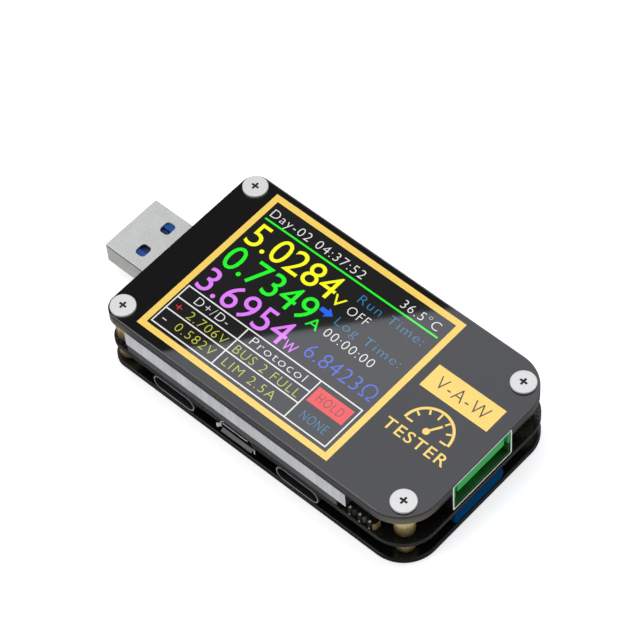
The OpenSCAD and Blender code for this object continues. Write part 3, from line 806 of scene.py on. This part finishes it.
def build_gauge(bm):
    """Half-round dial with ticks, a needle and its hub."""
    cu, cv, radius, half_line = 54.7, -2.35, 4.3, 0.24
    tick_out, tick_long, tick_short, tick_w = radius - 0.3, 2.75, 3.1, 0.34
    needle_angle, needle_length, needle_w, hub = math.radians(58), 2.7, 0.42, 0.62

    def polar(reach, angle):
        return cu + reach * math.cos(angle), cv + reach * math.sin(angle)

    arc = [math.pi * i / 40 for i in range(41)]
    outer = [face_point(*polar(radius + half_line, angle)) for angle in arc]
    inner = [face_point(*polar(radius - half_line, angle)) for angle in arc]
    add_prism(bm, outer + inner[::-1], PRINT_FOOT, INK_Z)
    for i in range(7):
        angle = math.pi * i / 6
        start = tick_long if i % 3 == 0 else tick_short
        add_bar(bm, *polar(start, angle), *polar(tick_out, angle), tick_w, PRINT_FOOT, INK_Z)
    add_bar(bm, cu, cv, *polar(needle_length, needle_angle), needle_w,
            PRINT_FOOT + 0.001, INK_Z + 0.002)
    disc = [face_point(*polar(hub, i * math.pi / 12)) for i in range(24)]
    add_prism(bm, disc, PRINT_FOOT + 0.002, INK_Z + 0.004)


def build_screen(bm):
    inset = 0.02
    add_prism(bm, rectangle(FRAME_IN[0] + inset, FRAME_IN[1] + inset, FRAME_IN[2] - inset,
                            FRAME_IN[3] - inset), FACE_Z + 0.002, GLASS_TOP)


# Large readings: capital heights, ends along u, then digits, unit, colour and baseline of each
ROW_CAP, UNIT_CAP = 4.86, 2.03
DIGITS_U, UNIT_U = (8.22, 26.6), (26.85, 29.2)
ROWS = (("5.0284", "V", "yellow", 6.28), ("0.7349", "A", "green", 0.572), ("3.6954", "W", "violet", -5.236))

# Small lettering: text, its start and end along u, baseline and capital height
WHITE_TEXT = (
    ("Day-02 04:37:52", 8.12, 28.0, 12.75, 1.76), ("36.5°C", 36.1, 43.75, 12.75, 1.76),
    ("OFF", 30.3, 34.5, 6.31, 1.76), ("00:00:00", 30.3, 40.35, 0.81, 1.76),
    ("D+/D-", 10.6, 17.6, -7.9, 1.65), ("Protocol", 22.6, 34.0, -7.9, 1.65),
    ("-", 8.8, 9.7, -13.6, 1.7))
LIME_TEXT = (
    ("2.706V", 11.6, 19.7, -10.75, 1.7), ("0.582V", 11.6, 19.7, -13.6, 1.7),
    ("BUS 2 FULL", 21.6, 35.2, -10.75, 1.7), ("LIM 2.5A", 21.9, 32.6, -13.6, 1.7))
SKY_TEXT = (
    ("Run Time:", 30.3, 43.6, 9.06, 1.8), ("Log Time:", 30.3, 43.6, 3.56, 1.7),
    ("NONE", 37.9, 43.0, -13.1, 1.76))

# The table's outline, its two upright rules and its two level rules
TABLE = (7.785, -14.48, 44.69, -5.79)
TABLE_U = (20.765, 36.165)
TABLE_V = (-8.48, -11.18)


def add_texts(bm, rows):
    for text, u0, u1, baseline, cap in rows:
        add_text(bm, text, u0, u1, baseline, cap, INK_Z, INK_TOP)


def build_white(bm):
    add_texts(bm, WHITE_TEXT)
    line = 0.11
    u0, v0, u1, v1 = TABLE
    add_ring(bm, rectangle(u0 - line, v0 - line, u1 + line, v1 + line),
             rectangle(u0 + line, v0 + line, u1 - line, v1 - line), INK_Z, INK_TOP)
    for u in TABLE_U:
        add_prism(bm, rectangle(u - line, v0 + line, u + line, v1 - line), INK_Z + 0.001, INK_TOP - 0.001)
    for v in TABLE_V:
        add_prism(bm, rectangle(u0 + line, v - line, TABLE_U[1] - line, v + line),
                  INK_Z + 0.002, INK_TOP - 0.002)


def build_blue(bm):
    """Short arrow that points along +X."""
    u0, u1, v0, v1, half_stem = 26.8, 29.35, 3.45, 5.5, 0.42
    mid, neck = (v0 + v1) / 2, (u0 + u1) / 2
    outline = [(u0, mid - half_stem), (neck, mid - half_stem), (neck, v0), (u1, mid), (neck, v1),
               (neck, mid + half_stem), (u0, mid + half_stem)]
    add_prism(bm, [face_point(u, v) for u, v in outline], INK_Z, INK_TOP)


ink("screen_glass", screen_dark, "panel_glass", build_screen)
ink("gold_frame", gold_print, "cover", build_gold)
ink("gauge_icon", gold_print, "cover", build_gauge)
ink("label_text", dark_print, "cover",
    lambda bm: add_text(bm, "V-A-W", 50.0, 60.1, 4.75, 2.5, INK_Z - 0.001, INK_Z + 0.01))
ink("screen_white", screen_ink["white"], "panel_glass", build_white)
ink("screen_rule", screen_ink["green"], "panel_glass",
    lambda bm: add_prism(bm, rectangle(*RULE), INK_Z, INK_TOP))
for digits, unit, tone, base in ROWS:
    def build_row(bm):
        add_text(bm, digits, *DIGITS_U, base, ROW_CAP, INK_Z, INK_TOP, thicken=0.0, apart=1.0)
        add_text(bm, unit, *UNIT_U, base, UNIT_CAP, INK_Z, INK_TOP, thicken=0.0, apart=1.0)
    ink(f"reading_{tone}", screen_ink[tone], "panel_glass", build_row)
ink("screen_lime", screen_ink["lime"], "panel_glass", lambda bm: add_texts(bm, LIME_TEXT))
ink("screen_arrow", screen_ink["blue"], "panel_glass", build_blue)
ink("screen_sky", screen_ink["sky"], "panel_glass", lambda bm: add_texts(bm, SKY_TEXT))
ink("screen_ohms", screen_ink["indigo"], "panel_glass",
    lambda bm: add_text(bm, "6.8423Ω", 30.4, 44.5, -4.03, 2.86, INK_Z, INK_TOP, -0.05, apart=1.05))
ink("screen_plus", screen_ink["red"], "panel_glass",
    lambda bm: add_text(bm, "+", 8.8, 10.1, -10.75, 1.7, INK_Z, INK_TOP))
ink("screen_field", red_field, "panel_glass",
    lambda bm: add_prism(bm, rectangle(*HOLD_FIELD), INK_Z - 0.001, INK_TOP - 0.004))
ink("screen_hold", dark_on_red, "panel_glass",
    lambda bm: add_text(bm, "HOLD", 37.8, 42.9, -9.2, 1.76, INK_TOP - 0.005, INK_TOP + 0.002))


# ---------------------------------------------------------------- Blue plastic behind the plug's windows

def window_backing():
    """A stepped pad under each window in the plug's upper face: shallow outside, deep and ribbed inside."""
    skin, from_tip, out = 0.3, 5.6, 2.9
    half_x, half_y, foot, shallow, deep = 1.5, 1.7, 0.9, 0.06, 0.5
    z = plug_high.z / MM - skin
    cx, cy = plug_low.x / MM + from_tip, (plug_low.y + plug_high.y) / 2 / MM
    ribs, half_rib, gap = (-0.9, -0.3, 0.3, 0.9), 0.1, 0.02
    bm = bmesh.new()
    for side in (-1, 1):
        y0, y1 = sorted((cy + side * out, cy + side * (out + half_y)))
        add_block(bm, (cx - half_x, y0, z - foot), (cx + half_x, y1, z - shallow))
        y0, y1 = sorted((cy + side * (out - half_y), cy + side * out))
        add_block(bm, (cx - half_x, y0, z - foot), (cx + half_x, y1, z - deep))
        for rib in ribs:
            add_block(bm, (cx + rib - half_rib, y0 + gap, z - deep - gap),
                      (cx + rib + half_rib, y1 - gap, z - deep + 0.08))
    return from_bmesh("plug_window_pads", bm, materials["pad_blue"], bevel_mm=0.03)


window_backing()


# ---------------------------------------------------------------- Small parts on the board

board_low, board_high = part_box("main_board")
BOARD_TOP = board_high.z / MM
BOARD_BOTTOM = board_low.z / MM


def chip_legs(name, node, per_side, pitch):
    """Gull-wing legs on two or four sides of a chip: shoulder, drop and foot."""
    low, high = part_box(node)
    x0, y0, x1, y1 = (c / MM for c in (low.x, low.y, high.x, high.y))
    cx, cy, z = (x0 + x1) / 2, (y0 + y1) / 2, low.z / MM
    half_leg = 0.11
    stretches = (((-0.02, 0.32), (0.3, 0.46)), ((0.24, 0.02), (0.38, 0.46)), ((0.3, 0.01), (0.75, 0.13)))
    bm = bmesh.new()
    for side in range(4):
        place = Matrix.Translation((cx * MM, cy * MM, 0)) @ Matrix.Rotation(side * math.pi / 2, 4, "Z")
        half = (x1 - x0) / 2 if side % 2 == 0 else (y1 - y0) / 2
        count = per_side[side % 2]
        for i in range(count):
            offset = (i - (count - 1) / 2) * pitch
            for (out0, up0), (out1, up1) in stretches:
                add_block(bm, (half + out0, offset - half_leg, z + up0),
                          (half + out1, offset + half_leg, z + up1), place)
    return from_bmesh(name, bm, materials["port_steel"], bevel_mm=0.025)


chip_legs("controller_legs", "controller_chip", (12, 12), 0.5)
chip_legs("converter_legs", "converter_chip", (0, 4), 1.0)


def small_parts(name, places, level, facing):
    """Chip resistors and capacitors: pale ends and a dark body, in two pieces."""
    bodies, ends = bmesh.new(), bmesh.new()
    for x, y, along_x, length in places:
        tall, proud = 0.45, 0.03
        z0, z1 = (level, level + tall) if facing > 0 else (level - tall, level)
        half_l, half_w, cap = length / 2, length / 4, length * 0.22

        def put(bm, a, b, grow):
            if along_x:
                low, high = (x + a, y - half_w - grow, z0), (x + b, y + half_w + grow, z1)
            else:
                low, high = (x - half_w - grow, y + a, z0), (x + half_w + grow, y + b, z1)
            low = (low[0], low[1], z0 if facing > 0 else z0 - grow)
            high = (high[0], high[1], z1 + grow if facing > 0 else z1)
            add_block(bm, low, high)

        put(bodies, -half_l + cap, half_l - cap, 0)
        put(ends, -half_l, -half_l + cap, proud)
        put(ends, half_l - cap, half_l, proud)
    from_bmesh(name + "_bodies", bodies, materials["chip"], bevel_mm=0.03)
    from_bmesh(name + "_ends", ends, materials["port_steel"], bevel_mm=0.04)


# Places of the small parts: x, y, whether it lies along X, and its length, in millimetres
UPPER_PARTS = [
    (-3.5, 1.2, True, 1.0), (-3.5, 2.4, True, 1.0), (-3.5, 3.6, True, 1.0), (-4.2, -1.5, False, 1.0),
    (-2.6, -3.4, False, 1.6), (7.6, 2.2, False, 1.0), (8.8, 2.2, False, 1.0), (9.6, -3.6, True, 1.6),
    (9.0, -9.2, True, 1.0), (17.6, -5.2, False, 1.6), (17.6, -8.0, False, 1.6), (1.5, 8.2, True, 1.0),
    (4.0, 8.2, True, 1.0), (-9.0, 5.0, True, 1.6), (-12.5, 6.5, False, 1.6), (13.0, 5.0, True, 1.6),
]
LOWER_PARTS = [
    (-17.5, 8.5, True, 1.6), (-14.0, 9.5, True, 1.0), (-9.0, 9.5, True, 1.0), (0.0, 9.5, True, 1.0),
    (9.5, 9.0, True, 1.6), (12.0, 9.0, False, 1.6), (24.0, 11.0, True, 1.6), (28.0, 9.5, False, 1.0),
    (30.0, 9.5, False, 1.0), (-4.5, -9.5, True, 1.6), (8.2, -8.0, False, 1.0), (8.2, -10.4, False, 1.0),
    (23.5, -11.0, True, 1.6), (26.5, -13.5, True, 1.0), (24.0, -15.6, True, 1.0), (-18.5, -13.0, False, 1.6),
]
small_parts("upper_smd", UPPER_PARTS, BOARD_TOP, 1)
small_parts("lower_smd", LOWER_PARTS, BOARD_BOTTOM, -1)


# ---------------------------------------------------------------- Stage, lights and camera

def area_light(name, width, length, radiance):
    light = bpy.data.lights.new(name, "AREA")
    light.shape = "RECTANGLE"
    light.size = width
    light.size_y = length
    light.energy = radiance * math.pi * width * length
    obj = bpy.data.objects.new(name, light)
    bpy.context.scene.collection.objects.link(obj)
    obj.visible_camera = False
    return obj


def lamp(name, place, target, size, radiance):
    obj = area_light(name, size, size, radiance)
    obj.location = place
    obj.rotation_euler = (Vector(target) - Vector(place)).to_track_quat("-Z", "Y").to_euler()


def mirrored_card(eye, near, far, reach, width, length, radiance):
    """A soft box whose straight side shows in the polished plate as a line through near and far."""
    image = Vector((eye.x, eye.y, 2 * near.z - eye.z))
    middle = (near + far) / 2
    out = (middle - image).normalized()
    along = ((near - image).normalized() - (far - image).normalized())
    along = (along - out * along.dot(out)).normalized()
    across = along.cross(out).normalized()
    if across.x < 0:
        across = -across
    centre = image + out * reach + across * (width / 2)
    obj = area_light("card", width, length, radiance)
    obj.data.color = (0.97, 0.985, 1.06)
    axes = Matrix((across, out.cross(across), out)).transposed()
    obj.matrix_world = Matrix.Translation(centre) @ axes.to_4x4()


def camera_at(place, right, down, forward, lens):
    data = bpy.data.cameras.new("camera")
    data.lens = lens
    data.sensor_width = 36
    data.clip_start = 0.01
    data.clip_end = 50
    obj = bpy.data.objects.new("camera", data)
    bpy.context.scene.collection.objects.link(obj)
    axes = Matrix((Vector(right), -Vector(down), -Vector(forward))).transposed()
    obj.matrix_world = Matrix.Translation(place) @ axes.to_4x4()
    bpy.context.scene.camera = obj


def floor_material():
    """White paper, lit a little from behind so that shadows stay faint."""
    mat, tree, shader, coords = new_material("floor")
    paper = noise(tree, coords, 0.02, detail=3)
    tree.links.new(ramp(tree, paper, [(0.3, (0.93, 0.93, 0.93)), (0.7, (0.96, 0.96, 0.96))]),
                   shader.inputs["Base Color"])
    shader.inputs["Roughness"].default_value = 0.9
    shader.inputs["Specular IOR Level"].default_value = 0.1
    shader.inputs["Emission Color"].default_value = (1, 1, 1, 1)
    shader.inputs["Emission Strength"].default_value = 0.5
    return mat


def lay_floor():
    """A wide round sheet just under the object."""
    bm = bmesh.new()
    bmesh.ops.create_circle(bm, cap_ends=True, segments=96, radius=6.0)
    for v in bm.verts:
        v.co.z = -0.02 * MM
    mesh = bpy.data.meshes.new("floor")
    bm.to_mesh(mesh)
    bm.free()
    mesh.materials.append(floor_material())
    floor = bpy.data.objects.new("floor", mesh)
    bpy.context.scene.collection.objects.link(floor)
    floor.visible_glossy = False


def light_world():
    """A white backdrop that lights the object only weakly."""
    world = bpy.data.worlds.new("studio")
    world.use_nodes = True
    bpy.context.scene.world = world
    tree = world.node_tree
    background = tree.nodes["Background"]
    rays = tree.nodes.new("ShaderNodeLightPath")
    tree.links.new(spread(tree, rays.outputs["Is Camera Ray"], 0.12, 1.0, 0.0, 1.0),
                   background.inputs["Strength"])
    background.inputs["Color"].default_value = (1, 1, 1, 1)


# The camera's place in metres, its axes, and where the reflection's straight side crosses the plate
EYE = Vector((0.19438, -0.18489, 0.39470))
GLEAM_FAR = Vector((0.0168, 0.0181, plate_high.z))
GLEAM_NEAR = Vector((-0.0126, -0.0177, plate_high.z))
camera_at(EYE, right=(0.74299, 0.66771, -0.04610), down=(0.52734, -0.62642, -0.57403),
          forward=(-0.41217, 0.40219, -0.81753), lens=166.15)

mirrored_card(EYE, GLEAM_FAR, GLEAM_NEAR, reach=0.95, width=0.42, length=0.75, radiance=2.2)
lamp("key", (-0.25, -0.55, 0.42), (0, 0, 0), size=0.4, radiance=3.0)
lamp("fill", (0.6, -0.1, 0.35), (0, 0, 0), size=0.4, radiance=1.6)
lamp("back", (0.35, 0.6, 0.5), (0, 0, 0), size=0.4, radiance=1.6)
lay_floor()
light_world()
bpy.context.scene.view_settings.view_transform = "Standard"
